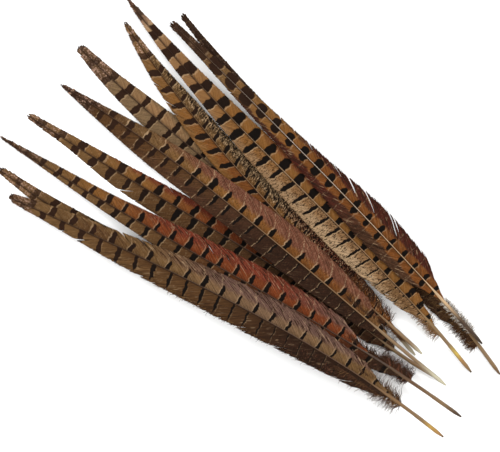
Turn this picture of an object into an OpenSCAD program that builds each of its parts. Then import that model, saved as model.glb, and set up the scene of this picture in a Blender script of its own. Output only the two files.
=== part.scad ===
// A fan of ten loose tail feathers: natural, uncut quills with barred vanes.
// Every feather is built the same way from its own line, widths and heights:
// a horny shaft (hollow barrel and rachis), the pith inside it, two vanes and
// the tufts of down at their base. The feathers lie on each other in a pile.

/* [Quill] */
// Outer radius of the round quill barrel
barrel_r = 1.85; // [1.4:0.05:2.4]
// Horn left around the hollow of the barrel
barrel_wall = 0.35; // [0.2:0.05:0.5]
// Length of the round barrel, its pointed end included
barrel_len = 34; // [30:1:40]
// Length of the pointed end that stood in the skin
barrel_tip = 8; // [5:1:12]
// Radius of the small hole in the pointed end
end_hole_r = 0.35; // [0.2:0.05:0.5]

/* [Rachis] */
// Radius of the shaft at the feather's tip
tip_r = 0.25; // [0.2:0.05:0.4]
// How fast the shaft thins towards the tip
taper = 1.8; // [1:0.1:2.2]
// Share of the shaft's radius that is pith
pith_share = 0.55; // [0.3:0.05:0.7]

/* [Vanes] */
// Thickness of a vane beside the shaft
vane_inner_t = 0.45; // [0.3:0.05:0.6]
// Thickness of a vane at its outer edge
vane_outer_t = 0.3; // [0.2:0.05:0.4]
// How far a vane's edge droops, as a share of the vane's width
droop = 0.05; // [0:0.01:0.08]
// Length of the downy stretch below each vane
down_len = 20; // [12:1:30]

/* [Smoothness] */
// Rings along a shaft
shaft_rings = 26; // [16:1:30]
// Rings along a vane
vane_rings = 24; // [16:1:28]

/* [Hidden] */
EPS = 0.001;
SHAFT_SIDES = 8;
ROUND_FN = 48;
PLUG_LEN = 4;         // solid horn where barrel and rachis meet
PLUG_OVERLAP = 2.8;   // the rachis starts this far inside the barrel's plug
RACHIS_FIT = 0.97;    // the rachis is this share of the barrel where it starts
BORE_DOME = 1;        // height of the bore's domed end
BORE_START = 2;       // length of the small hole behind the pointed end
CAPS = 3;             // dried caps left in the barrel when it stopped growing
CAP_PITCH = 5.5;
CAP_T = 0.12;
PITH_START = 8;       // the pith begins this far above the barrel
PITH_END = 0.72;      // and ends this far along the vane
PITH_RINGS = 18;
PITH_GAP = 0.02;
VANE_GAP = 0.03;      // between a vane and the shaft's flat side
ATTACH = 0.35;        // height where barbs leave the shaft, in shaft radii
MIN_W = 0.3;          // a vane never gets narrower than this
DOWN_LOFT = 1.4;      // down is this much thicker than a vane
DOWN_RINGS = 5;
DOWN_GAP = 0.3;       // between the down and the vane above it
HOOK_LEN = 60;        // a hooked quill turns over this length
FAN_SHIFT = [-18.509, 3.744, -0.337];   // brings the middle of the fan over the origin

// Where a feather's heights and widths are given, as shares of its length
// and of its vane
HEIGHT_AT = [0, 0.12, 0.25, 0.4, 0.6, 0.8, 1];
WIDTH_AT = [0, 0.25, 0.5, 0.75, 0.9, 1];
BASE_SWELL = 1.6;     // how roundly a vane opens at its base
END_SWELL = 1.4;      // and closes at its tip

// quill end, tip, bow, bend, hook at the quill, bare quill length,
// heights of the shaft, widths of the left vane, widths of the right vane
FEATHERS = [
    [[264, -43], [-190, -119], 15, 3, 0, 60,
        [7.5, 13, 17.5, 16.5, 12.75, 8.75, 4.5],
        [5, 16.5, 18, 13.5, 7, 3], [4, 18, 18, 12.5, 8.5, 3.5]],
    [[180, -40], [-214, -105], -9, 3, 0, 45,
        [2.5, 2.25, 1.75, 1.5, 1.25, 1, 1],
        [3, 10, 12, 9, 5, 2.5], [3, 10, 12, 10, 6, 3]],
    [[265, -18], [-232, -81], 3, 4, 0, 60,
        [8, 11.5, 14.75, 13, 9.5, 5.5, 2],
        [3, 14, 14, 7.5, 2.6, 0.5], [3, 17, 16.5, 8.5, 5, 0.5]],
    [[229, -10], [-224, -49], 8, 4, 7, 50,
        [2.5, 2.25, 1.75, 1.5, 1.25, 1, 0.75],
        [4, 14, 15, 13.5, 5, 2.5], [4, 13, 14, 9.5, 6, 2.5]],
    [[235, -4], [-218, -8], 8, -3, 0, 70,
        [13, 12.5, 11.5, 10, 8, 5.5, 2.5],
        [4, 15, 17, 16, 8.5, 0.6], [5, 21, 18, 10.5, 4, 0.8]],
    [[196, 0], [-226, 30], 5, 5, 0, 50,
        [5, 4.5, 4, 3.5, 3, 2, 1],
        [4, 13, 14, 13, 9, 4], [4, 13, 14, 11.5, 6.5, 4]],
    [[200, 5], [-207, 74], -13, 1, 0, 36,
        [10, 9, 7.5, 6.5, 5.25, 4, 2.5],
        [8, 13, 14, 12.6, 7.5, 1.5], [5, 15, 13, 10, 4.5, 1.5]],
    [[247, 20], [-220, 93], -1, 5, 0, 55,
        [2.5, 7.75, 13.25, 12.5, 9.25, 6, 3],
        [4, 18, 16.5, 9.5, 4.8, 0.6], [4, 13, 13, 9, 5.2, 0.6]],
    [[269, 35], [-170, 113], 3, 5, 0, 45,
        [2.5, 2.25, 1.75, 1.5, 1.25, 1, 0.75],
        [6, 18, 12, 7, 4, 2], [4, 7, 6, 4, 3, 1.5]],
    [[238, 47], [-173, 101], 3.5, 0, 0, 50,
        [6.5, 11, 15.5, 15.25, 12.5, 9, 5.75],
        [6, 16.5, 12.5, 8.6, 5, 3], [6, 17.5, 10.5, 6, 4, 3]]
];

PARTS = ["shaft", "pith", "vane_left", "vane_right", "down"];
function feather_name(i) = str("feather_", i < 9 ? "0" : "", i + 1);

// --- reading a feather's record
function quill_end(i) = FEATHERS[i][0];
function tip(i) = FEATHERS[i][1];
function bow(i) = FEATHERS[i][2];
function bend(i) = FEATHERS[i][3];
function hook(i) = FEATHERS[i][4];
function bare(i) = FEATHERS[i][5];
function heights(i) = FEATHERS[i][6];
function widths(i, side) = FEATHERS[i][side < 0 ? 7 : 8];
function chord(i) = norm(tip(i) - quill_end(i));

// --- a smooth curve through the values w given at the places k
function slope(k, w, i) =
    i == 0 ? (w[1] - w[0]) / (k[1] - k[0])
    : i == len(k) - 1 ? (w[i] - w[i - 1]) / (k[i] - k[i - 1])
    : let (a = k[i] - k[i - 1], b = k[i + 1] - k[i])
        (a * a * w[i + 1] + (b * b - a * a) * w[i] - b * b * w[i - 1]) / (a * b * (a + b));
function piece_of(k, x) = max([for (j = [0:len(k) - 2]) if (j == 0 || x >= k[j]) j]);
function smooth_at(k, w, x, first = 1, last = 1) =
    let (
        i = piece_of(k, x),
        h = k[i + 1] - k[i],
        u = (x - k[i]) / h,
        m0 = slope(k, w, i) * (i == 0 ? first : 1),
        m1 = slope(k, w, i + 1) * (i == len(k) - 2 ? last : 1)
    )
    (2 * u ^ 3 - 3 * u ^ 2 + 1) * w[i] + (u ^ 3 - 2 * u ^ 2 + u) * h * m0
    + (3 * u ^ 2 - 2 * u ^ 3) * w[i + 1] + (u ^ 3 - u ^ 2) * h * m1;

// --- the line of a shaft, from t = 0 at the quill's end to t = 1 at the tip
function across(i) = let (d = (tip(i) - quill_end(i)) / chord(i)) [d.y, -d.x];
function sideways(i, t) =
    4 * bow(i) * t * (1 - t) + 8 * bend(i) * t * (1 - t) * (1 - 2 * t)
    + hook(i) * max(0, 1 - t * chord(i) / HOOK_LEN) ^ 2;
function on_plan(i, t) =
    quill_end(i) + t * (tip(i) - quill_end(i)) + sideways(i, t) * across(i);
function line(i, t) =
    let (p = on_plan(i, t)) [p.x, p.y, smooth_at(HEIGHT_AT, heights(i), t)] + FAN_SHIFT;
function along(i, t) = let (d = line(i, t + EPS) - line(i, t - EPS)) d / norm(d);
function side_of(i, t) = let (d = along(i, t)) [d.y, -d.x, 0] / norm([d.x, d.y]);
function up_of(i, t) = cross(side_of(i, t), along(i, t));

// --- sizes along a feather
function t_at(i, mm) = mm / chord(i);
function vane_share(i, t) = max(0, (t * chord(i) - bare(i)) / (chord(i) - bare(i)));
function t_of_share(i, v) = (bare(i) + v * (chord(i) - bare(i))) / chord(i);
function shaft_r(i, t) = tip_r + (barrel_r - tip_r) * max(0, 1 - vane_share(i, t)) ^ taper;
function vane_w(i, side, t) =
    max(MIN_W, smooth_at(WIDTH_AT, widths(i, side), vane_share(i, t), BASE_SWELL, END_SWELL));

// --- rings of points, and the skin between them
function round_ring(i, t, r) =
    [for (k = [0:SHAFT_SIDES - 1])
        let (a = (k + 0.5) * 360 / SHAFT_SIDES)
        line(i, t) + r * (cos(a) * side_of(i, t) + sin(a) * up_of(i, t))];
function sheet_ring(i, side, t, thick = 1) =
    let (
        r = shaft_r(i, t),
        w = vane_w(i, side, t),
        root = r * cos(180 / SHAFT_SIDES) + VANE_GAP,
        row = [for (q = [0, 0.5, 1])
            [side * (root + q * w), ATTACH * r - droop * w * q * q,
                thick * (vane_inner_t + (vane_outer_t - vane_inner_t) * q) / 2]],
        upper = [for (p = row) [p.x, p.y + p.z]],
        lower = [for (k = [2:-1:0]) [row[k].x, row[k].y - row[k].z]],
        outline = side > 0 ? concat(upper, lower) : [for (k = [5:-1:0]) concat(upper, lower)[k]]
    )
    [for (p = outline) line(i, t) + p.x * side_of(i, t) + p.y * up_of(i, t)];

module skin(rings, inward = false) {
    m = len(rings[0]);
    n = len(rings);
    walls = [for (j = [0:n - 2]) for (k = [0:m - 1])
        let (a = j * m + k, b = j * m + (k + 1) % m)
        each [[a, b, b + m], [a, b + m, a + m]]];
    caps = [[for (k = [m - 1:-1:0]) k], [for (k = [0:m - 1]) (n - 1) * m + k]];
    faces = concat(walls, caps);
    polyhedron([for (r = rings) each r],
        inward ? [for (f = faces) [for (k = [len(f) - 1:-1:0]) f[k]]] : faces);
}

// Puts something drawn along +X from the origin onto the quill, pointing to the tip
module on_quill(i) {
    d = along(i, t_at(i, barrel_len / 2));
    p = line(i, t_at(i, barrel_len)) - barrel_len * d;
    translate(p)
        rotate([0, -asin(d.z), atan2(d.y, d.x)])
            children();
}

// --- the sub-parts
module barrel(i) {
    bore = barrel_r - barrel_wall;
    closed = barrel_len - PLUG_LEN;
    on_quill(i) rotate([0, 90, 0])
        rotate_extrude($fn = ROUND_FN)
            polygon([[end_hole_r, 0], [end_hole_r + barrel_wall, 0], [barrel_r, barrel_tip],
                [barrel_r, barrel_len], [0, barrel_len], [0, closed],
                [bore, closed - BORE_DOME], [bore, barrel_tip + BORE_DOME],
                [end_hole_r, BORE_START]]);
}

function rachis_from(i) = t_at(i, barrel_len - PLUG_OVERLAP);
function pith_from(i) = t_at(i, barrel_len + PITH_START);
function pith_to(i) = t_of_share(i, PITH_END);
function steps(from, to, n) = [for (j = [0:n - 1]) from + (to - from) * j / (n - 1)];

module shaft(i) {
    core = steps(pith_from(i), pith_to(i), PITH_RINGS);
    color("wheat") {
        barrel(i);
        difference() {
            skin([for (t = steps(rachis_from(i), 1, shaft_rings))
                round_ring(i, t, shaft_r(i, t) * RACHIS_FIT)]);
            skin([for (t = core) round_ring(i, t, shaft_r(i, t) * pith_share)]);
        }
    }
}

module pith(i) {
    core = steps(pith_from(i) + t_at(i, PITH_GAP), pith_to(i) - t_at(i, PITH_GAP), PITH_RINGS);
    color("ivory") {
        skin([for (t = core) round_ring(i, t, shaft_r(i, t) * pith_share - 2 * PITH_GAP)]);
        for (k = [1:CAPS])
            on_quill(i) translate([barrel_tip + k * CAP_PITCH, 0, 0]) rotate([0, 90, 0])
                cylinder(r = barrel_r - barrel_wall - PITH_GAP, h = CAP_T, $fn = ROUND_FN);
    }
}

module vane(i, side) {
    from = t_at(i, bare(i) + down_len);
    color(side < 0 ? "peru" : "sienna")
        skin([for (t = steps(from, 1 - EPS, vane_rings)) sheet_ring(i, side, t)]);
}

module down(i) {
    from = t_at(i, bare(i));
    to = t_at(i, bare(i) + down_len - DOWN_GAP);
    color("dimgray")
        for (side = [-1, 1])
            skin([for (t = steps(from, to, DOWN_RINGS)) sheet_ring(i, side, t, DOWN_LOFT)]);
}

module subpart(i, part) {
    if (part == "shaft") shaft(i);
    if (part == "pith") pith(i);
    if (part == "vane_left") vane(i, -1);
    if (part == "vane_right") vane(i, 1);
    if (part == "down") down(i);
}

for (i = [0:len(FEATHERS) - 1])
    for (p = PARTS)
        subpart(i, p);
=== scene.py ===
"""A loose fan of ten pheasant tail feathers: horny quills, barred vanes and down.

Every feather's line, widths and heights are read from its CAD nodes. Each vane
is then built from single barbs, and painted by where a barb lies on the feather.
Lengths in LOOKS are in millimetres; stations are measured from the quill's end.
"""
import math

import bpy
import numpy as np
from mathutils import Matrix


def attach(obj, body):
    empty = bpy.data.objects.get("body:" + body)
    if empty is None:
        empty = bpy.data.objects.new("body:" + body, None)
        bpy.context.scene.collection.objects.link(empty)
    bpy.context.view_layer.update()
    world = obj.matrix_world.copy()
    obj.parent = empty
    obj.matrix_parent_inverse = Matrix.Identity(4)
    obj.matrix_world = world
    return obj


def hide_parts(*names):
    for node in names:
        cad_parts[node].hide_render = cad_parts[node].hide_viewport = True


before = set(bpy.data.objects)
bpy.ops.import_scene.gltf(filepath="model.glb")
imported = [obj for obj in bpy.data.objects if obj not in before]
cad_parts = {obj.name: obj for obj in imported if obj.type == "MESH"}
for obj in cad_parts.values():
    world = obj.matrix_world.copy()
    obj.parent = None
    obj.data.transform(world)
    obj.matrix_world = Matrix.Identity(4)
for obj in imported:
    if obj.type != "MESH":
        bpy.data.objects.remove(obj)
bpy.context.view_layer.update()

MM = 0.001


# ---------------------------------------------------------------- colours
TONE = 0.88           # keeps the feathers' tone right under the bright studio light


def linear(rgb):
    """A display colour, each channel 0 to 255, as Blender's linear colour."""
    c = np.array(rgb, float) / 255 * TONE
    low = c / 12.92
    high = ((c + 0.055) / 1.055) ** 2.4
    return (*np.where(c <= 0.04045, low, high), 1.0)


COLOURS = {name: linear(rgb) for name, rgb in {
    "black": (16, 10, 6), "umber": (50, 30, 18), "brown": (78, 50, 32),
    "olive": (92, 62, 34), "khaki": (122, 90, 54), "grey_khaki": (128, 102, 72),
    "sand": (152, 114, 76), "cream": (196, 164, 126), "golden": (138, 92, 44), "orange": (124, 72, 30),
    "rust": (122, 58, 26), "brick": (120, 52, 34), "wine": (74, 30, 20),
    "rosy": (124, 76, 56), "mauve": (114, 84, 72), "grey_tan": (132, 102, 76),
    "ivory": (226, 214, 180), "ochre": (186, 146, 62),
    "horn": (126, 98, 62), "down_grey": (104, 80, 64), "white": (226, 218, 204),
    "pink": (190, 152, 130), "tip_red": (92, 50, 36), "bone": (196, 190, 162),
    "amber": (160, 118, 66), "yellow": (206, 176, 76),
}.items()}


# ---------------------------------------------------------------- looks of each feather
# quill, inner, outer: colours along the shaft and the vane's ground, beside the
#   shaft and outside it, by station; split, blur: where the outer ground begins
# bars: station of one bar, the pitch at station 100 and the pitch at station 400
# reach, thick: how far a bar runs out from the shaft, and its thickness at the
#   base and at the tip; slant, curl: how its line leans and curves outwards
# pale, broken, edge: strength of the light line beside each bar, whether it is
#   broken up, and its side of the bar: 1 towards the tip, -1 towards the quill
# specks, speck: density and colour of the dark specks; fleck_share, fleck: share
#   and colour of the light flecks; inner_specks: their share beside the shaft
#   speck_to: the station where they end; hairs: strength of lines along the barbs
# fray, loose_from, loose_to: how loose the barbs hang, from which share of their
#   length, and up to which station; late: how far past its start in CAD a vane begins
# tip: length, colour and light flecks of the worn tip
# line: half width of the shaft that shows between the vanes
# down: colours of the strands, one of them for each strand
# tufts: side, first and last station, longest strand, count, lean, and where
#   the strands start, as a share of the vane's width
def vane(inner, outer, bars, **more):
    """The look of one vane: ordinary values, then what is said otherwise."""
    look = {
        "inner": inner, "outer": outer, "bars": bars, "reach": 10, "thick": (3.6, 5),
        "slant": -0.1, "curl": 0.005, "split": 9, "blur": 3, "pale": 0.5, "specks": 0.35,
        "speck": "umber", "fleck": "cream", "fleck_share": 0.35, "inner_specks": 1,
        "speck_to": 600, "broken": 0, "hairs": 0.3, "fray": 0.3, "loose_from": 0.75,
        "loose_to": 0, "late": 1, "tip": (25, "brown", 0.5), "line": 0.35, "edge": -1,
    }
    look.update(more)
    return look


LOOKS = {
    "feather_01": {
        "quill": [("umber", 0), ("amber", 4), ("ochre", 16), ("horn", 26), ("khaki", 52),
                  ("brown", 110), ("umber", 250)],
        "left": vane([("umber", 60), ("umber", 170), ("olive", 260), ("olive", 330),
                      ("khaki", 430)],
                     [("umber", 60), ("umber", 170), ("olive", 270), ("khaki", 420)],
                     (295.9, 11.8, 19.9), reach=15, thick=(1, 4.2), split=6, specks=0.9,
                     speck="black", fleck="rosy", fleck_share=0.8, inner_specks=0.2, pale=0.3,
                     speck_to=170, broken=1, hairs=0.5, fray=0.85, loose_from=0.5, loose_to=340,
                     tip=(24, "brown", 0.7)),
        "right": vane([("khaki", 60), ("khaki", 110), ("grey_tan", 200), ("khaki", 300), ("olive", 380),
                       ("khaki", 430)],
                      [("brown", 60), ("mauve", 110), ("mauve", 250), ("khaki", 330), ("khaki", 430)],
                      (97.5, 15.4, 20.4), reach=10, thick=(2.6, 4), slant=-0.12, curl=0.045, edge=1,
                      hairs=1, fray=0.45, loose_from=0.5, loose_to=300, line=0.5,
                      tip=(24, "brown", 0.7)),
        "down": ["brown", "umber", "khaki", "umber", "brown"],
        "tufts": [("left", 50, 80, 15, 200, 0.3, 0), ("left", 70, 120, 10, 260, 0.7, 0.2),
                  ("right", 50, 95, 14, 320, 0.9, 0), ("left", 85, 300, 7, 150, 0.9, 0.85)],
    },
    "feather_02": {
        "quill": [("bone", 0), ("khaki", 34), ("horn", 80), ("brown", 160), ("umber", 300)],
        "left": vane([("khaki", 60), ("khaki", 400)], [("brown", 60), ("brown", 400)],
                     (100, 15, 18), reach=12, tip=(45, "khaki", 0.8)),
        "right": vane([("khaki", 60), ("khaki", 330), ("brown", 400)], [("brown", 60), ("brown", 400)],
                      (320.6, 14.4, 20.6), reach=12, tip=(45, "khaki", 0.8)),
        "down": ["brown", "umber"],
        "tufts": [("left", 46, 75, 9, 120, 0.6, 0), ("right", 46, 75, 9, 120, 0.6, 0)],
    },
    "feather_03": {
        "quill": [("umber", 0), ("umber", 5), ("horn", 22), ("olive", 52), ("umber", 85),
                  ("umber", 250)],
        "left": vane([("umber", 95), ("rust", 170), ("olive", 300), ("khaki", 440), ("brown", 480)],
                     [("umber", 95), ("olive", 300), ("khaki", 440), ("brown", 480)],
                     (119, 17.2, 16.6), reach=14, thick=(3.6, 4.4), slant=0.15,
                     tip=(45, "umber", 0.5)),
        "right": vane([("rust", 60), ("rust", 330), ("golden", 400), ("khaki", 450)],
                      [("mauve", 60), ("mauve", 140), ("brick", 200), ("brick", 330), ("golden", 420)],
                      (136, 15.6, 17.5), reach=10, thick=(3.4, 4.4), slant=-0.08, curl=0.04, edge=1,
                      split=8.5, specks=0.3, hairs=0.9, fray=0.45, loose_from=0.6, loose_to=280,
                      late=42, tip=(45, "umber", 0.5)),
        "down": ["umber", "rosy", "umber", "brown", "umber", "black", "umber"],
        "tufts": [("left", 60, 95, 10, 260, 0.6, 0), ("right", 58, 90, 14, 460, 0.3, 0),
                  ("right", 80, 125, 13, 360, 0.9, 0)],
    },
    "feather_04": {
        "quill": [("bone", 0), ("khaki", 22), ("horn", 50), ("brown", 120), ("umber", 250)],
        "left": vane([("brown", 60), ("olive", 300), ("khaki", 420)],
                     [("brown", 60), ("olive", 300), ("khaki", 420)],
                     (306.3, 12.5, 20.2), reach=13, thick=(4, 5.4), slant=0.12, tip=(32, "brown", 0.8)),
        "right": vane([("brown", 60), ("rust", 250), ("golden", 330), ("khaki", 420)],
                      [("brick", 60), ("brick", 330), ("khaki", 400)],
                      (258.6, 15.1, 21.4), reach=11, thick=(4, 5.4), split=8, tip=(40, "khaki", 0.9)),
        "down": ["brown", "umber"],
        "tufts": [("left", 52, 90, 10, 200, 0.6, 0), ("right", 52, 90, 12, 200, 0.6, 0)],
    },
    "feather_05": {
        "quill": [("bone", 0), ("bone", 12), ("grey_khaki", 34), ("grey_khaki", 70),
                  ("khaki", 110), ("khaki", 220), ("brown", 300)],
        "left": vane([("umber", 60), ("umber", 200), ("brown", 260), ("olive", 320), ("olive", 400),
                      ("umber", 450)],
                     [("umber", 60), ("umber", 230), ("brown", 300), ("olive", 400), ("umber", 450)],
                     (288.5, 13.2, 15.2), reach=12, thick=(1, 5.6), slant=0.1, pale=0.9, edge=1,
                     broken=1, specks=0.5, speck="black", fleck="rosy", hairs=0.3, fray=0.1, line=0.5,
                     tip=(35, "umber", 0.8)),
        "right": vane([("khaki", 60), ("orange", 140), ("golden", 280), ("khaki", 350), ("brown", 430)],
                      [("brown", 60), ("rosy", 110), ("rosy", 300), ("khaki", 360), ("brown", 430)],
                      (112.6, 16.2, 19.5), reach=10, thick=(3.8, 4.8), slant=-0.12, curl=0.045, edge=1,
                      split=8, specks=0.5, pale=0.9, hairs=0.6, fray=0.3, loose_from=0.8,
                      loose_to=200, line=0.5, tip=(45, "brown", 0.9)),
        "down": ["brown", "umber", "umber"],
        "tufts": [("left", 72, 110, 10, 180, 0.8, 0), ("right", 72, 120, 12, 300, 0.8, 0)],
    },
    "feather_06": {
        "quill": [("bone", 0), ("khaki", 24), ("brown", 160), ("umber", 300)],
        "left": vane([("brown", 60), ("grey_khaki", 250), ("grey_khaki", 420)],
                     [("brown", 60), ("grey_khaki", 250), ("grey_khaki", 420)],
                     (272.8, 13.5, 20.3), reach=15, thick=(4, 5), slant=0.08, tip=(42, "brown", 0.9)),
        "right": vane([("brown", 60), ("grey_khaki", 250), ("sand", 330), ("grey_khaki", 420)],
                      [("brown", 60), ("grey_khaki", 250), ("grey_khaki", 420)],
                      (288, 13.5, 20.4), reach=14, thick=(4, 5), slant=0.05, tip=(42, "brown", 0.9)),
        "down": ["brown", "umber", "khaki"],
        "tufts": [("left", 50, 80, 9, 140, 0.7, 0), ("right", 52, 100, 13, 420, 0.7, 0)],
    },
    "feather_07": {
        "quill": [("bone", 0), ("grey_khaki", 14), ("khaki", 45), ("sand", 160), ("khaki", 330)],
        "left": vane([("brown", 30), ("orange", 80), ("orange", 250), ("golden", 320), ("khaki", 400)],
                     [("brown", 30), ("orange", 80), ("golden", 250), ("khaki", 400)],
                     (301.6, 13.9, 20.1), reach=11, thick=(4, 6), slant=0.45, specks=0.4,
                     tip=(36, "khaki", 1)),
        "right": vane([("orange", 60), ("golden", 160), ("khaki", 300), ("khaki", 400)],
                      [("brown", 60), ("brick", 130), ("grey_khaki", 200), ("khaki", 400)],
                      (291.9, 10.3, 18.8), reach=8, thick=(3, 4.8), slant=0.3, specks=1.25,
                      split=5, speck="black", inner_specks=0.35, fleck_share=1,
                      fray=0.5, loose_from=0.7, loose_to=180, tip=(36, "khaki", 1)),
        "down": ["brown", "umber", "umber", "orange"],
        "tufts": [("left", 18, 60, 7, 240, 0.9, 0), ("right", 40, 100, 15, 620, 0.7, 0)],
    },
    "feather_08": {
        "quill": [("black", 0), ("horn", 4), ("amber", 15), ("yellow", 22), ("grey_khaki", 34),
                  ("horn", 60), ("sand", 150), ("cream", 260), ("umber", 380)],
        "left": vane([("sand", 50), ("sand", 200), ("golden", 300), ("sand", 420), ("cream", 455),
                      ("tip_red", 472)],
                     [("sand", 50), ("cream", 160), ("sand", 300), ("sand", 420), ("cream", 455),
                      ("tip_red", 472)],
                     (226.3, 11.2, 21.2), reach=15, thick=(2.2, 7), slant=0.2, specks=0.9,
                     speck_to=320, pale=0.7, fray=0.9, loose_from=0.35, loose_to=150,
                     tip=(30, "tip_red", 0.5)),
        "right": vane([("golden", 50), ("golden", 330), ("sand", 420), ("cream", 455),
                       ("tip_red", 472)],
                      [("golden", 50), ("brick", 250), ("golden", 300), ("sand", 420),
                       ("cream", 455), ("tip_red", 472)],
                      (320.2, 14.5, 23.4), reach=11, thick=(5.4, 7.8), slant=0, specks=0.25,
                      tip=(30, "tip_red", 0.5)),
        "down": ["khaki", "sand", "brown", "khaki"],
        "tufts": [("left", 46, 110, 11, 620, 0.5, 0), ("right", 56, 90, 8, 160, 0.7, 0)],
    },
    "feather_09": {
        "quill": [("brown", 0), ("horn", 10), ("grey_khaki", 24), ("horn", 40), ("brown", 70),
                  ("umber", 200)],
        "left": vane([("brown", 40), ("khaki", 90), ("brown", 200), ("umber", 330)],
                     [("umber", 40), ("brown", 150), ("umber", 330)],
                     (83, 15, 21), reach=10, thick=(4, 6), slant=0, specks=0.7, hairs=0.9,
                     tip=(120, "umber", 0.15)),
        "right": vane([("golden", 40), ("golden", 250), ("umber", 330)],
                      [("wine", 40), ("wine", 250), ("umber", 330)],
                      (97, 15, 21), reach=8, late=45, tip=(120, "umber", 0.15)),
        "down": ["umber", "brown", "khaki", "umber"],
        "tufts": [("left", 34, 60, 13, 380, 0.3, 0), ("left", 55, 120, 17, 560, 0.75, 0),
                  ("right", 45, 80, 7, 140, 0.6, 0)],
    },
    "feather_10": {
        "quill": [("black", 0), ("umber", 14), ("umber", 30), ("cream", 50), ("cream", 120),
                  ("white", 260), ("grey_tan", 380)],
        "left": vane([("orange", 50), ("orange", 220), ("golden", 280), ("khaki", 350), ("brown", 420)],
                     [("brown", 50), ("brown", 150), ("wine", 200), ("wine", 260), ("umber", 360)],
                     (66.2, 14.8, 21.4), reach=6.8, thick=(4.6, 11.5), slant=0, split=7.5, blur=1.2,
                     specks=0.2, pale=0.4, hairs=0.9, fray=0.5, loose_from=0.5, loose_to=290, late=6,
                     tip=(45, "umber", 0.2)),
        "right": vane([("orange", 50), ("orange", 220), ("golden", 280), ("khaki", 350), ("brown", 420)],
                      [("wine", 50), ("wine", 240), ("khaki", 300), ("khaki", 360), ("brown", 420)],
                      (67.4, 14.9, 21.4), reach=6.8, thick=(4.4, 11.5), slant=0, split=7.5, blur=1.2,
                      specks=0.2, pale=0.4, hairs=0.9, fray=0.8, loose_from=0.45, loose_to=240,
                      late=4, tip=(45, "umber", 0.2)),
        "down": ["white", "umber", "white", "brown"],
        "tufts": [("left", 14, 52, 6, 260, 0.9, 0), ("right", 14, 52, 6, 260, 0.9, 0)],
    },
}


# ---------------------------------------------------------------- reading the CAD nodes
CUTS = 240            # cuts through each feather
END_GAP = 0.6 * MM    # the first and last cut lie this far inside the ends
SMOOTH = 7 * MM       # the shaft's line is averaged over this length
AT_EDGE = 0.05 * MM   # points this close to the widest are the vane's edge
STEP = 0.5 * MM       # step for reading directions off the line


def edges_of(*nodes):
    """Both ends of every mesh edge of these CAD nodes."""
    found = []
    for node in nodes:
        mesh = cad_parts[node].data
        points = np.array([v.co for v in mesh.vertices])
        pairs = np.array([e.vertices[:] for e in mesh.edges])
        found.append(points[pairs])
    return np.concatenate(found)


def cut(edges, origin, normal):
    """The points where mesh edges pass through a plane."""
    d = (edges - origin) @ normal
    hit = (d[:, 0] < 0) != (d[:, 1] < 0)
    a, b = edges[hit, 0], edges[hit, 1]
    share = (d[hit, 0] / (d[hit, 0] - d[hit, 1]))[:, None]
    return a + share * (b - a)


def smoothed(values, spacing, reach):
    """Values along a line, averaged over about reach on each side."""
    n = max(1, int(3 * reach / spacing))
    weights = np.exp(-0.5 * (np.arange(-n, n + 1) * spacing / reach) ** 2)
    weights /= weights.sum()
    head = 2 * values[0] - values[n:0:-1]
    tail = 2 * values[-1] - values[-2:-n - 2:-1]
    return np.convolve(np.concatenate([head, values, tail]), weights, "valid")


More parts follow.
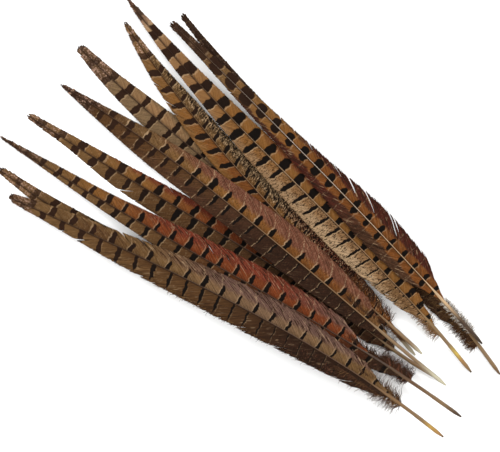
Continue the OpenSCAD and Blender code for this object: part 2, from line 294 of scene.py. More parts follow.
class Feather:
    """The line of a feather's shaft, its radius, and the widths of its vanes."""

    def __init__(self, name):
        self.name = name
        shaft = edges_of(name + "_shaft")
        points = shaft.reshape(-1, 3)
        quill, tip = points[points[:, 0].argmax()], points[points[:, 0].argmin()]
        axis = (tip - quill) * [1, 1, 0]
        span = np.linalg.norm(axis)
        axis = axis / span
        across = np.array([axis[1], -axis[0], 0])
        stations = np.linspace(END_GAP, span - END_GAP, CUTS)
        rows = []
        for station in stations:
            hit = cut(shaft, quill + station * axis, axis)
            low, high = hit.min(0), hit.max(0)
            side = hit @ across
            centre = quill + station * axis
            middle = centre + (side.max() / 2 + side.min() / 2 - centre @ across) * across
            rows.append([*middle[:2], (low[2] + high[2]) / 2, (side.max() - side.min()) / 2])
        rows = np.array(rows)
        spacing = stations[1] - stations[0]
        line = np.stack([smoothed(rows[:, k], spacing, SMOOTH) for k in range(3)], 1)
        self.line = line
        self.radius = rows[:, 3]
        steps = np.linalg.norm(np.diff(line, axis=0), axis=1)
        self.station = np.concatenate([[0], np.cumsum(steps)])
        self.length = self.station[-1]
        self.axis, self.across = axis, across
        self.vanes = {side: self.read_vane(side) for side in ("left", "right")}

    def read_vane(self, side):
        """Its side's sign, where it starts, and its width and edge height at each station."""
        sign = -1 if side == "left" else 1
        edges = edges_of(f"{self.name}_vane_{side}", f"{self.name}_down")
        rows = []
        for k, middle in enumerate(self.line):
            hit = cut(edges, middle, self.axis)
            if len(hit):
                lateral = sign * (hit - middle) @ self.across
                far = lateral > lateral.max() - AT_EDGE
                rows.append([self.station[k], lateral.max(), hit[far, 2].mean() - middle[2]])
        return {"sign": sign, "rows": np.array(rows), "start": rows[0][0]}

    def at(self, s):
        """Point, forward, side and up directions at stations s."""
        s = np.asarray(s, float)
        point = self.point(s)
        forward = self.point(s + STEP) - self.point(s - STEP)
        forward /= np.linalg.norm(forward, axis=-1, keepdims=True)
        side = np.stack([forward[..., 1], -forward[..., 0], 0 * s], -1)
        side /= np.linalg.norm(side, axis=-1, keepdims=True)
        return point, forward, side, np.cross(side, forward)

    def point(self, s):
        """The shaft's middle at stations s, carried on straight past both ends."""
        inside = np.clip(s, 0, self.length)
        point = np.stack([np.interp(inside, self.station, self.line[:, k]) for k in range(3)], -1)
        first = (self.line[1] - self.line[0]) / self.station[1]
        last = (self.line[-1] - self.line[-2]) / (self.length - self.station[-2])
        before = np.minimum(s, 0)[..., None] * first
        after = np.maximum(s - self.length, 0)[..., None] * last
        return point + before + after

    def radius_at(self, s):
        return np.interp(s, self.station, self.radius)

    def width_at(self, side, s):
        rows = self.vanes[side]["rows"]
        return np.interp(s, rows[:, 0], rows[:, 1])

    def edge_drop(self, side, s):
        rows = self.vanes[side]["rows"]
        return np.interp(s, rows[:, 0], rows[:, 2])


# ---------------------------------------------------------------- meshes
def build(name, points, quads, body, replaced, layers):
    """A smooth mesh object from arrays, riding on a CAD body in place of CAD nodes."""
    mesh = bpy.data.meshes.new(name)
    points = np.ascontiguousarray(points, np.float32).reshape(-1, 3)
    quads = np.ascontiguousarray(quads, np.int32).reshape(-1, 4)
    mesh.vertices.add(len(points))
    mesh.vertices.foreach_set("co", points.ravel())
    mesh.loops.add(quads.size)
    mesh.loops.foreach_set("vertex_index", quads.ravel())
    mesh.polygons.add(len(quads))
    mesh.polygons.foreach_set("loop_start", np.arange(0, quads.size, 4, dtype=np.int32))
    mesh.update(calc_edges=True)
    mesh.polygons.foreach_set("use_smooth", np.full(len(quads), True))
    for key, values in layers.items():
        layer = mesh.attributes.new(key, "FLOAT_VECTOR", "POINT")
        layer.data.foreach_set("vector", np.ascontiguousarray(values, np.float32).ravel())
    mesh.validate()
    piece = bpy.data.objects.new(name, mesh)
    bpy.context.scene.collection.objects.link(piece)
    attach(piece, body)
    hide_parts(*replaced)
    return piece


def tube_quads(strands, rings, sides):
    """Faces of closed tubes whose points are ordered by strand, ring and side. Sides is even."""
    ring, side = np.meshgrid(np.arange(rings - 1), np.arange(sides), indexing="ij")
    following = (side + 1) % sides
    wall = np.stack([ring * sides + side, ring * sides + following,
                     (ring + 1) * sides + following, (ring + 1) * sides + side], -1)
    strips = np.arange(sides // 2 - 1)
    cap = np.stack([strips, sides - 1 - strips, sides - 2 - strips, strips + 1], -1)
    caps = np.concatenate([cap, (rings - 1) * sides + cap[:, ::-1]])
    one = np.concatenate([wall.reshape(-1, 4), caps])
    return (np.arange(strands)[:, None, None] * rings * sides + one).reshape(-1, 4)


def blades(path, across, half_width, half_depth, up, tilt=0.0):
    """Diamond-shaped blades along paths of shape (strands, rings, 3)."""
    left = path - across * half_width[..., None] + up * tilt
    right = path + across * half_width[..., None] - up * tilt
    top = path + up * half_depth[..., None]
    low = path - up * half_depth[..., None]
    return np.stack([left, low, right, top], 2)


def directions(path, up):
    """Unit directions along paths, and across them."""
    run = np.gradient(path, axis=1)
    run /= np.linalg.norm(run, axis=-1, keepdims=True)
    across = np.cross(up, run)
    across /= np.linalg.norm(across, axis=-1, keepdims=True)
    return run, across


def on_each_corner(values):
    """Values of shape (strands, rings, 3), once for each of a blade's four corners."""
    return np.repeat(values[:, :, None], 4, axis=2)


# ---------------------------------------------------------------- barbs of a vane
PITCH = 0.65 * MM     # gap between barbs along the shaft
UNEVEN = 0.2          # how far a barb's root strays, in pitches
RINGS = 9             # cross sections of each barb
BARB_DEPTH = 0.09 * MM
SHINGLE = 0.05 * MM   # a barb's one edge lies this far above its middle, the other below
FLANK = 0.9           # barbs of the bare shaft leave it this far out, in radii
BARE_FADE = 30 * MM   # over this length the barbs close in over the shaft
ROOT_LIFT = 0.1 * MM  # barbs leave this far above the shaft's skin
OVERLAP = 0.66        # a hooked barb's half width, as a share of the gap to the next
NARROWEST, WIDEST = 0.12 * MM, 0.8 * MM
HAIR = 0.13 * MM      # half width of a barb that hangs loose
GROUP = 13 * MM       # mean length of vane that hangs together
SPLIT = 0.3           # how far the most parted groups draw together
CLUMP = 0.04          # how far every group draws together
DOWNY, DOWNY_FRAY = 38 * MM, 0.9  # length at the base where barbs hang like down, and how loose
WORN, WORN_FRAY = 32 * MM, 0.5    # length at the tip where barbs are worn, and how loose
LOOSE_FADE = 40 * MM  # over this length a loose stretch of vane closes up
SWEEP_SHARE = 1.35    # a barb runs up the shaft by this share of the vane's width,
SWEEP = 4 * MM        # and this much more,
LOOSE_SWEEP = 6 * MM  # and this much more where the vane is loose
SHORTEST = 1.2 * MM   # least run of a barb along the shaft
LEAST_REACH = 0.4 * MM
OPENING, BASE_SHARE = 14 * MM, 0.4  # the vane opens over this length, from this share
END_CLEAR = 0.8 * MM  # the last barb's root lies this far from the shaft's end
TIP_OVER = 2.5 * MM   # the last barbs reach this far past the shaft,
TIP_DRAW = 0.15       # and each one before them less, by this share of its distance
END_SCATTER, EDGE_SCATTER = 1.5 * MM, 1.2 * MM      # of barb ends, along and across
HANG_SCATTER, HANG_LIFT = 2.5 * MM, 0.5 * MM        # of loose barbs, along and upwards
HANG_WAVE, HANG_WAVES = 0.4 * MM, 9                 # waves of loose barbs: size and turns
CURL_FROM = 6         # mm from the shaft where a bar's line begins to curl


def groups_of(roots, rng):
    """For each barb, its group's middle and how far the group has drawn together."""
    middles, splits = np.zeros_like(roots), np.zeros_like(roots)
    first = 0
    while first < len(roots):
        size = int(rng.uniform(0.3, 1.8) * GROUP / PITCH) + 2
        last = min(first + size, len(roots))
        middles[first:last] = roots[first:last].mean()
        splits[first:last] = rng.uniform(0, 1) ** 4 * SPLIT
        first = last
    return middles, splits


def bar_phase(s_mm, q_mm, look):
    """Counts the bars: a whole number in the middle of each bar."""
    first, near, far = look["bars"]
    growth = (far - near) / 300
    s_mm = s_mm - look["slant"] * q_mm - look["curl"] * np.maximum(q_mm - CURL_FROM, 0) ** 2
    pitch = np.maximum(near + (s_mm - 100) * growth, 4)
    start = near + (first - 100) * growth
    return (s_mm - first) / near if abs(growth) < 1e-5 else np.log(pitch / start) / growth


def barb_spans(feather, side, look, rng):
    """Where the vane starts, and each barb's root, end, reach and how frayed it is."""
    start = feather.vanes[side]["start"] + look["late"] * MM
    count = int((feather.length - END_CLEAR - start) / PITCH)
    root = start + (np.arange(count) + rng.uniform(-UNEVEN, UNEVEN, count)) * PITCH
    middle, split = groups_of(root, rng)
    loose = np.clip((look["loose_to"] * MM - root) / LOOSE_FADE, 0, 1)
    downy = np.clip(1 - (root - start) / DOWNY, 0, 1)
    worn = np.clip(1 - (feather.length - root) / WORN, 0, 1)
    fray = np.max([look["fray"] * loose, DOWNY_FRAY * downy, WORN_FRAY * worn], axis=0)
    fray = fray * rng.uniform(0, 1, count) ** 1.2
    sweep = SWEEP_SHARE * feather.width_at(side, root) + SWEEP + LOOSE_SWEEP * loose
    clump = np.clip(CLUMP + split + 0.5 * fray, 0, 0.8)
    end = root + sweep + clump * (middle - root) + fray * rng.normal(0, END_SCATTER, count)
    last = feather.length + TIP_OVER - TIP_DRAW * (feather.length - root)
    end = np.clip(end, root + SHORTEST, last)
    opening = np.clip((root - start) / OPENING, 0, 1) * (1 - BASE_SHARE) + BASE_SHARE
    closing = np.clip((feather.length - root) / sweep, 0, 1)
    reach = feather.width_at(side, np.minimum(end, feather.length)) * opening * closing
    reach = reach + (0.1 + 0.9 * fray) * rng.normal(0, EDGE_SCATTER, count)
    return start, root, end, np.maximum(reach, LEAST_REACH), fray


def first_step(feather, look, root, start):
    """How far from the shaft's middle each barb begins. A line of shaft shows between."""
    flank = FLANK * feather.radius_at(root)
    bare = np.clip(1 - (root - start) / BARE_FADE, 0, 1) ** 1.5
    thinning = np.clip(1.25 - root / feather.length, 0.3, 1)
    seen = np.minimum(look["line"] * MM * thinning, flank)
    return (seen + (flank - seen) * bare)[:, None]


def barb_lines(feather, side, look, rng):
    """Each barb's path, with its stations, distances from the shaft and looseness."""
    start, root, end, reach, fray = barb_spans(feather, side, look, rng)
    each = (len(root), 1)
    u = np.linspace(0, 1, RINGS)[None, :]
    first = first_step(feather, look, root, start)
    bow = 0.5 * u + 0.5 * (1 - (1 - u) ** 2)
    q = first + (reach[:, None] - first) * bow
    s = root[:, None] + (end - root)[:, None] * u
    hanging = np.clip((u - look["loose_from"]) / (1 - look["loose_from"]), 0, 1)
    hanging = hanging * fray[:, None]
    s = s + hanging * rng.normal(0, HANG_SCATTER, each)
    q = q + hanging * np.sin(u * HANG_WAVES + rng.uniform(0, 6, each)) * HANG_WAVE

    point, _, sideways, up = feather.at(s)
    inside = np.minimum(s, feather.length)
    thick = feather.radius_at(inside)
    lift = np.sqrt(np.maximum(thick ** 2 - first ** 2, 0)) + ROOT_LIFT
    drop = feather.edge_drop(side, inside)
    near = np.exp(-((q - first) / (1.2 * thick + 0.5 * MM)) ** 2)
    height = drop + (lift - drop) * near
    height = height + hanging * rng.normal(0, HANG_LIFT, each)
    sign = feather.vanes[side]["sign"]
    path = point + sideways * (sign * q)[..., None] + up * height[..., None]
    return path, up, root, u, s, q, hanging


def barb_widths(path, run, u, hanging):
    """Half widths: a barb overlaps its neighbours, unless it hangs loose as a hair."""
    gap = np.linalg.norm(np.cross(run[:-1], path[1:] - path[:-1]), axis=-1)
    gap = np.maximum(np.concatenate([gap[:1], gap]), np.concatenate([gap, gap[-1:]]))
    half = np.clip(OVERLAP * gap, NARROWEST, WIDEST)
    half = half + (HAIR * (1.2 - 0.6 * u) - half) * np.clip(2 * hanging, 0, 1)
    half[:, -1] *= 0.5
    return half


def barbs(feather, side, look, rng):
    """One vane: single barbs that leave the shaft and sweep towards the tip."""
    path, up, root, u, s, q, hanging = barb_lines(feather, side, look, rng)
    run, across = directions(path, up)
    half = barb_widths(path, run, u, hanging)
    depth = np.full_like(half, BARB_DEPTH) * (1 - 0.4 * u)
    points = blades(path, across, half, depth, up, SHINGLE)

    s_mm, q_mm = s / MM, q / MM
    place = np.stack([bar_phase(s_mm, q_mm, look), q_mm / 10, s_mm / 100], -1)
    barb = np.stack([np.broadcast_to(root[:, None] / MM / 100, s.shape),
                     np.broadcast_to(u, s.shape), np.zeros_like(s)], -1)
    return points, {"place": on_each_corner(place), "barb": on_each_corner(barb)}


def make_vane(feather, side, look, rng):
    """One vane of single barbs in place of the CAD's thin sheet."""
    points, layers = barbs(feather, side, look, rng)
    name = f"{feather.name}_barbs_{side}"
    piece = build(name, points, tube_quads(len(points), RINGS, 4), feather.name,
                  [f"{feather.name}_vane_{side}"], layers)
    piece.data.materials.append(vane_material(name, look, side, feather.length))


# ---------------------------------------------------------------- quill and rachis
SHAFT_SIDES = 16
POINT, POINT_RINGS = 12 * MM, 14  # the quill's pointed end, and its close cross sections
RING_PITCH = 2.5 * MM
BARREL, BOXY_OVER = 30 * MM, 25 * MM  # the round barrel ends here and turns boxy over this
SQUARE = 1.12         # radius at the boxy rachis's corners, in radii
GROOVE, GROOVE_WIDE = 0.16, 0.35  # the groove under the rachis: depth in radii, width in radians


def make_quill(feather, look):
    """The horny shaft: a round barrel, then a rachis that is boxy and grooved below."""
    s = np.concatenate([np.linspace(0, POINT, POINT_RINGS)[:-1],
                        np.arange(POINT, feather.length, RING_PITCH), [feather.length]])
    point, _, side, up = feather.at(s)
    rachis = np.clip((s - BARREL) / BOXY_OVER, 0, 1)[:, None]
    angle = np.arange(SHAFT_SIDES) * 2 * np.pi / SHAFT_SIDES
    square = 1 / (np.abs(np.cos(angle)) ** 3 + np.abs(np.sin(angle)) ** 3) ** (1 / 3)
    below = np.exp(-((angle - 1.5 * np.pi) / GROOVE_WIDE) ** 2)
    shape = 1 + (np.minimum(square, SQUARE) - 1) * rachis - GROOVE * below * rachis
    ring = feather.radius_at(s)[:, None] * shape
    points = (point[:, None] + side[:, None] * (ring * np.cos(angle))[..., None]
              + up[:, None] * (ring * np.sin(angle))[..., None])
    place = np.stack([np.broadcast_to(s[:, None] / MM / 100, ring.shape),
                      np.broadcast_to(np.sin(angle), ring.shape),
                      np.broadcast_to(np.cos(angle), ring.shape)], -1)
    name = f"{feather.name}_quill"
    piece = build(name, points, tube_quads(1, len(s), SHAFT_SIDES)[:, ::-1], feather.name,
                  [f"{feather.name}_shaft"], {"place": place})
    piece.data.materials.append(quill_material(name, look))


# ---------------------------------------------------------------- down
DOWN_RINGS = 10
DOWN_HALF = 0.2 * MM
DOWN_CURL, DOWN_SPREAD = 0.55, 0.3  # scatter of the strands' curl and heading, in radians
DOWN_WIGGLE, DOWN_WIGGLES = 0.3, 8
DOWN_LIFT, DOWN_LAYER = 0.3 * MM, 0.8 * MM  # middle height above the shaft's line, and spread
DOWN_FALL = 0.04      # strands sink this much for each unit of distance from the shaft


def down_strands(feather, tuft, rng):
    """Strand middles and half widths, for one tuft on one side of the shaft."""
    side, first, last, longest, count, lean, out = tuft
    sign = -1 if side == "left" else 1
    each = (count, 1)
    root = rng.uniform(first, last, count) * MM
    length = rng.uniform(0.35, 1, count) * longest * MM
    u = np.linspace(0, 1, DOWN_RINGS)[None, :]
    curl = rng.normal(0, DOWN_CURL, each)
    wiggle = DOWN_WIGGLE * np.sin(DOWN_WIGGLES * u + rng.uniform(0, 6, each))
    heading = lean + rng.normal(0, DOWN_SPREAD, each) + curl * u + wiggle
    step = length[:, None] / (DOWN_RINGS - 1)
    s = root[:, None] + np.cumsum(np.sin(heading) * step, 1) - np.sin(heading[:, :1]) * step
    begin = 0.5 * feather.radius_at(root) + out * feather.width_at(side, root)
    q = begin[:, None] + np.cumsum(np.cos(heading) * step, 1) - np.cos(heading[:, :1]) * step
    point, _, outward, up = feather.at(s)
    height = DOWN_LIFT + rng.uniform(-DOWN_LAYER, DOWN_LAYER, each) * u
    height = height - DOWN_FALL * np.clip(q, 0, None)
    path = point + outward * (sign * q)[..., None] + up * height[..., None]
    tint = np.repeat(rng.uniform(0, 1, each), DOWN_RINGS, 1)
    place = np.stack([tint, np.broadcast_to(u, tint.shape), s / MM / 100], -1)
    return path, np.broadcast_to(DOWN_HALF * (1.35 - u), q.shape), place, up


def make_down(feather, look, rng):
    """Loose curling strands on both sides of the shaft below the vanes."""
    tufts = [down_strands(feather, tuft, rng) for tuft in look["tufts"]]
    path, half, place, up = (np.concatenate(part) for part in zip(*tufts))
    _, across = directions(path, up)
    points = blades(path, across, half, 0.7 * half, up)
    name = f"{feather.name}_fluff"
    piece = build(name, points, tube_quads(len(points), DOWN_RINGS, 4), feather.name,
                  [f"{feather.name}_down"], {"place": on_each_corner(place)})
    piece.data.materials.append(down_material(name, look))


# ---------------------------------------------------------------- materials
SPAN = 520            # station at the end of the colour ramps, past every feather's tip
BUMP_DEPTH = 0.2 * MM


class Paint:
    """Writes a material's nodes from short calls."""

    def __init__(self, name, roughness, coat=0.0, specular=0.3):
        self.material = bpy.data.materials.new(name)
        self.material.use_nodes = True
        self.tree = self.material.node_tree
        self.shader = self.tree.nodes["Principled BSDF"]
        self.shader.inputs["Roughness"].default_value = roughness
        self.shader.inputs["Coat Weight"].default_value = coat
        self.shader.inputs["Coat Roughness"].default_value = 0.3
        self.shader.inputs["Specular IOR Level"].default_value = specular

    def node(self, kind, **settings):
        node = self.tree.nodes.new(kind)
        for key, value in settings.items():
            setattr(node, key, value)
        return node

    def feed(self, socket, value):
        if isinstance(value, bpy.types.NodeSocket):
            self.tree.links.new(value, socket)
        else:
            socket.default_value = value

    def attribute(self, name):
        source = self.node("ShaderNodeAttribute", attribute_name=name)
        split = self.node("ShaderNodeSeparateXYZ")
        self.feed(split.inputs[0], source.outputs["Vector"])
        return split.outputs[0], split.outputs[1], split.outputs[2]

    def math(self, operation, a, b=0.0):
        node = self.node("ShaderNodeMath", operation=operation)
        for socket, value in zip(node.inputs, (a, b)):
            self.feed(socket, value)
        return node.outputs[0]

    def times(self, a, b):
        return self.math("MULTIPLY", a, b)

    def plus(self, a, b):
        return self.math("ADD", a, b)

    def minus(self, a, b):
        return self.math("SUBTRACT", a, b)

    def step(self, x, low, high):
        """0 below low, 1 above high, smooth between. Low may be above high."""
        node = self.node("ShaderNodeMapRange", interpolation_type="SMOOTHSTEP")
        for socket, value in zip(node.inputs, (x, low, high, 0.0, 1.0)):
            self.feed(socket, value)
        return node.outputs[0]

    def noise(self, x, y, z, scale, detail=2.0, rough=0.5):
        vector = self.node("ShaderNodeCombineXYZ")
        for socket, value in zip(vector.inputs, (x, y, z)):
            self.feed(socket, value)
        node = self.node("ShaderNodeTexNoise")
        self.feed(node.inputs["Vector"], vector.outputs[0])
        node.inputs["Scale"].default_value = scale
        node.inputs["Detail"].default_value = detail
        node.inputs["Roughness"].default_value = rough
        return node.outputs["Fac"]

    def ramp(self, x, stops):
        """Colours by station in units of 100 mm: stops are (colour name, station in mm)."""
        node = self.node("ShaderNodeValToRGB")
        elements = node.color_ramp.elements
        while len(elements) < len(stops):
            elements.new(0.5)
        for element, (colour, station) in zip(elements, stops):
            element.position = station / SPAN
            element.color = COLOURS[colour]
        self.feed(node.inputs[0], self.math("DIVIDE", x, SPAN / 100))
        return node.outputs[0]

    def mix(self, factor, a, b):
        node = self.node("ShaderNodeMix", data_type="RGBA")
        for socket, value in zip((node.inputs[0], node.inputs[6], node.inputs[7]), (factor, a, b)):
            self.feed(socket, value)
        return node.outputs[2]

    def finish(self, colour, bump=None, strength=0.3):
        self.feed(self.shader.inputs["Base Color"], colour)
        if bump is not None:
            node = self.node("ShaderNodeBump")
            node.inputs["Strength"].default_value = strength
            node.inputs["Distance"].default_value = BUMP_DEPTH
            self.feed(node.inputs["Height"], bump)
            self.feed(self.shader.inputs["Normal"], node.outputs[0])
        return self.material


class VanePaint(Paint):
    """Paints one vane by where each point lies: station and distance from the shaft in mm."""

    WANDER = 6.0            # mm that the outer band's edge wanders
    SPECKS_END = (40, -70)  # mm past speck_to where no speckles are left, and where all are
    MEAN_PITCH = 17.5       # mm between bars, to turn their thickness into a share of it
    BAR_WAVE, BAR_RAGGED = 0.22, 0.07   # waviness of a bar's line and edge, in pitches
    OVAL_FROM = 0.45        # share of a bar's reach where its rounded end begins
    FADED = (170.0, 60.0)   # mm from the tip over which the bars turn from black to umber
    TIP_RAGGED = 16.0       # mm that the worn tip's edge strays from barb to barb

    def __init__(self, name, look):
        super().__init__(name, roughness=0.75, specular=0.06)
        self.look = look
        self.phase, self.lateral, self.station = self.attribute("place")
        root, self.along, _ = self.attribute("barb")
        self.q = self.times(self.lateral, 10.0)
        self.mm = self.times(self.station, 100.0)
        self.root = self.times(root, 100.0)
        level = self.minus(self.mm, self.times(self.q, look["slant"]))
        self.grain = self.noise(level, self.times(self.q, 0.45), 0.2, 0.75, 4.0, 0.75)
        self.streak = self.noise(self.root, self.times(self.along, 0.6), 0.5, 0.9, 3.0, 0.7)

    def ground(self):
        """Inner and outer ground colours, and where the outer band lies."""
        look = self.look
        wander = self.noise(self.times(self.station, 10.0), self.lateral, 0.3, 1.6)
        edge = self.plus(self.q, self.times(self.minus(wander, 0.5), self.WANDER))
        outward = self.step(edge, look["split"] - look["blur"], look["split"] + look["blur"])
        inner = self.ramp(self.station, look["inner"])
        outer = self.ramp(self.station, look["outer"])
        return self.mix(outward, inner, outer), outward

    def hair_lines(self, ground, outward):
        """Dark and pale lines along single barbs, strongest in the outer band."""
        strength = self.times(self.plus(self.times(outward, 0.7), 0.3), self.look["hairs"])
        strand = self.noise(self.root, self.times(self.along, 1.5), 4.5, 1.7, 2.0, 0.6)
        dark = self.times(self.step(strand, 0.5, 0.4), strength)
        pale = self.times(self.step(strand, 0.6, 0.7), self.times(strength, 0.6))
        return self.mix(pale, self.mix(dark, ground, COLOURS["umber"]), COLOURS["cream"])

    def speckles(self, ground, outward):
        """Dark specks and light flecks, dense in the outer band or all over."""
        look = self.look
        dense, inner = look["specks"], look["inner_specks"]
        strength = self.plus(self.times(outward, dense * (1 - inner)), dense * inner)
        none, full = (look["speck_to"] + past for past in self.SPECKS_END)
        strength = self.times(strength, self.step(self.mm, none, full))
        speck = self.step(self.grain, 0.6 - 0.1 * dense, 0.66 - 0.1 * dense)
        ground = self.mix(self.times(speck, strength), ground, COLOURS[look["speck"]])
        fleck = self.times(self.step(self.grain, 0.44, 0.38), look["fleck_share"])
        return self.mix(self.times(fleck, strength), ground, COLOURS[look["fleck"]])

    def off_bar(self):
        """How far a point lies from the nearest bar's line in pitches, and that bar's chance."""
        count = self.math("ROUND", self.phase)
        wave = self.noise(self.mm, self.times(self.q, 1.3), 0.9, 0.16, 1.0, 0.4)
        wave = self.times(self.minus(wave, 0.5), self.BAR_WAVE)
        ragged = self.noise(self.mm, self.q, 0.9, 0.5, 3.0, 0.6)
        ragged = self.times(self.minus(ragged, 0.5), self.BAR_RAGGED)
        signed = self.plus(self.minus(self.phase, count), self.plus(wave, ragged))
        return signed, self.noise(self.times(count, 3.7), 0.5, 0.5, 1.0, 0.0)

    def bars(self):
        """Masks of the dark bars and of the pale line along one edge of each."""
        look = self.look
        signed, chance = self.off_bar()
        reach = self.times(self.plus(self.times(chance, 0.5), 0.75), look["reach"])
        near, far = (thick / 2 / self.MEAN_PITCH for thick in look["thick"])
        half = self.plus(near, self.times(self.step(self.station, 1.0, 4.2), far - near))
        half = self.times(half, self.plus(self.times(chance, 0.5), 0.8))
        long = self.minus(self.math("DIVIDE", self.q, reach), self.OVAL_FROM)
        long = self.math("DIVIDE", self.math("MAXIMUM", long, 0.0), 1 - self.OVAL_FROM)
        wide = self.math("DIVIDE", self.math("ABSOLUTE", signed), half)
        oval = self.plus(self.times(wide, wide), self.times(long, long))

        past = self.minus(self.times(signed, look["edge"]), self.times(half, 1.05))
        line = self.times(self.step(past, -0.02, 0.01), self.step(past, 0.075, 0.04))
        inside = self.step(self.q, look["reach"] * 1.25, look["reach"] * 0.7)
        whole = self.times(inside, 1 - look["broken"])
        faint = self.times(self.step(self.grain, 0.56, 0.42), 0.8)
        return self.step(oval, 1.3, 0.9), self.times(line, self.math("MAXIMUM", whole, faint))

    def tip(self, length):
        """How far each point is from the tip in mm, and how much it lies in the worn tip."""
        distance = self.look["tip"][0]
        left = self.minus(length / MM, self.mm)
        left = self.plus(left, self.times(self.minus(self.streak, 0.5), self.TIP_RAGGED))
        return left, self.step(left, distance * 1.15, distance * 0.75)


PAINTED_SHAFT_SHADOW = {"left": 0.75, "right": 0.25}   # painted shadow of the raised shaft on the barbs' roots beside it, strongest on the left, away from the light


def vane_material(name, look, side, length):
    """Ground colours, speckles, bars with a pale edge, a painted shadow beside the shaft, and streaks
    that follow the barbs.
    """
    p = VanePaint(name, look)
    ground, outward = p.ground()
    ground = p.hair_lines(ground, outward)
    ground = p.speckles(ground, outward)
    bar, line = p.bars()
    ground = p.mix(p.times(line, look["pale"] * 0.8), ground, COLOURS["cream"])

    left, tip = p.tip(length)
    _, colour, flecks = look["tip"]
    ground = p.mix(p.times(tip, 0.65), ground, COLOURS[colour])
    spot = p.times(p.step(p.noise(p.mm, p.q, 2.2, 0.55, 3.0, 0.75), 0.51, 0.58), flecks)
    ground = p.mix(p.times(spot, tip), ground, COLOURS["pink"])
    bar = p.times(bar, p.minus(1.0, p.times(tip, 0.25)))
    ground = p.mix(bar, ground, p.mix(p.step(left, *p.FADED), COLOURS["black"], COLOURS["umber"]))

    # Painted shadow: the barbs' roots beside the shaft turn towards umber, as if shaded by the raised
    # shaft.
    beside = p.times(p.step(p.q, 1.7, 0.6), PAINTED_SHAFT_SHADOW[side])
    ground = p.mix(beside, ground, COLOURS["umber"])
    single = p.noise(p.root, 0.5, 7.5, 1.3, 2.0, 0.7)
    ground = p.mix(p.times(p.step(single, 0.6, 0.4), 0.3), ground, COLOURS["black"])
    return p.finish(ground, p.streak, 0.5)


def quill_material(name, look):
    """Horn: colour along the quill, painted shade on flanks and underside, fine lengthwise lines."""
    p = Paint(name, roughness=0.4, coat=0.12, specular=0.2)
    station, top, flank = p.attribute("place")
    base = p.ramp(station, look["quill"])
    lines = p.noise(p.times(station, 6.0), p.times(top, 3.0), p.times(flank, 3.0), 2.0, 4.0, 0.65)
    base = p.mix(p.times(p.step(lines, 0.45, 0.62), 0.45), base, COLOURS["horn"])
    # Painted shade: all but the top of the shaft turns towards brown, as if lit from above.
    base = p.mix(p.times(p.step(top, 0.85, 0.2), 0.6), base, COLOURS["brown"])
    return p.finish(base, lines, 0.25)


def down_material(name, look):
    """Downy strands, each in one of the feather's down colours, greyer in patches."""
    p = Paint(name, roughness=0.8, specular=0.06)
    tint, along, station = p.attribute("place")
    colour = COLOURS[look["down"][0]]
    shares = np.linspace(0, 1, len(look["down"]) + 1)[1:]
    for share, named in zip(shares, look["down"][1:]):
        colour = p.mix(p.step(tint, share - 0.02, share + 0.02), colour, COLOURS[named])
    patch = p.noise(p.times(station, 60.0), tint, along, 2.0)
    grey = p.times(p.step(patch, 0.4, 0.7), 0.15)
    return p.finish(p.mix(grey, colour, COLOURS["down_grey"]))


def pith_material():
    """Pale foam with a fine grain."""
    p = Paint("pith", roughness=0.9)
    where = p.node("ShaderNodeTexCoord").outputs["Object"]
    foam = p.node("ShaderNodeTexNoise")
    p.feed(foam.inputs["Vector"], where)
    foam.inputs["Scale"].default_value = 4000
    return p.finish(p.mix(foam.outputs["Fac"], COLOURS["ivory"], COLOURS["white"]), foam.outputs["Fac"])


# ---------------------------------------------------------------- floor, light and camera
FAN_TURN = math.radians(38.5)     # the fan lies turned in the picture by this much
PICTURE_W = 0.465                 # width of table that the picture shows
PICTURE_AT = (-0.0179, 0.0023)    # the point under the middle of the picture
CAMERA_H = 3.0
SENSOR = 36
FLOOR = 6.0                       # half side of the floor


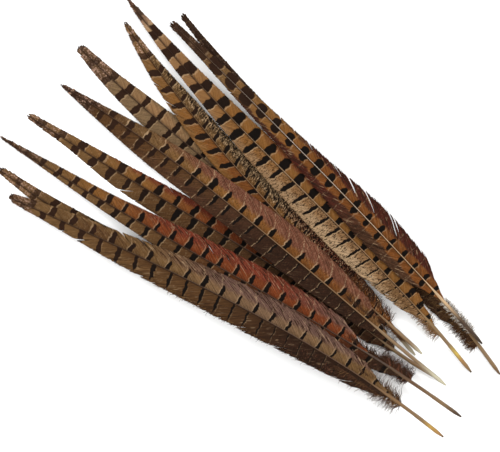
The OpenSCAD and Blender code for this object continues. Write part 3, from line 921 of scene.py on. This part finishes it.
def make_floor():
    """A plain pale table under the fan."""
    mesh = bpy.data.meshes.new("floor")
    corners = [(-FLOOR, -FLOOR, 0), (FLOOR, -FLOOR, 0), (FLOOR, FLOOR, 0), (-FLOOR, FLOOR, 0)]
    mesh.from_pydata(corners, [], [(0, 1, 2, 3)])
    floor = bpy.data.objects.new("floor", mesh)
    bpy.context.scene.collection.objects.link(floor)
    material = bpy.data.materials.new("floor")
    material.use_nodes = True
    shader = material.node_tree.nodes["Principled BSDF"]
    shader.inputs["Base Color"].default_value = (0.96, 0.96, 0.955, 1)
    shader.inputs["Roughness"].default_value = 0.9
    floor.data.materials.append(material)


def area_light(name, place, size, power):
    """A soft lamp that looks at the middle of the fan."""
    data = bpy.data.lights.new(name, "AREA")
    data.shape = "DISK"
    data.size = size
    data.energy = power
    lamp = bpy.data.objects.new(name, data)
    lamp.location = place
    back = lamp.location.normalized()
    lamp.rotation_mode = "QUATERNION"
    lamp.rotation_quaternion = back.to_track_quat("Z", "Y")
    bpy.context.scene.collection.objects.link(lamp)


def make_light():
    """Soft even light from all round, with a weak key lamp and a fill lamp."""
    world = bpy.data.worlds.new("studio")
    bpy.context.scene.world = world
    world.use_nodes = True
    background = world.node_tree.nodes["Background"]
    background.inputs[0].default_value = (1, 1, 1, 1)
    background.inputs[1].default_value = 1.32
    area_light("key", (0.15, 1.4, 1.5), 0.7, 17)
    area_light("fill", (-0.9, -0.8, 1.9), 1.4, 6)
    bpy.context.scene.view_settings.view_transform = "Standard"


def make_camera():
    """Straight above the fan, far off, turned so that the feathers lie as in the picture."""
    data = bpy.data.cameras.new("camera")
    data.sensor_width = SENSOR
    data.lens = SENSOR * CAMERA_H / PICTURE_W
    data.clip_end = 50
    camera = bpy.data.objects.new("camera", data)
    camera.location = (*PICTURE_AT, CAMERA_H)
    camera.rotation_euler = (0, 0, FAN_TURN)
    bpy.context.scene.collection.objects.link(camera)
    bpy.context.scene.camera = camera


# ---------------------------------------------------------------- the whole fan
def make_fan():
    """All ten feathers. The caps and cores in the shafts stay the CAD's own nodes."""
    pith = pith_material()
    for number, (name, look) in enumerate(LOOKS.items()):
        rng = np.random.default_rng(100 + number)
        feather = Feather(name)
        make_quill(feather, look)
        for side in ("left", "right"):
            make_vane(feather, side, look[side], rng)
        make_down(feather, look, rng)
        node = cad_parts[name + "_pith"]
        node.data.materials.clear()
        node.data.materials.append(pith)


make_floor()
make_light()
make_camera()
make_fan()
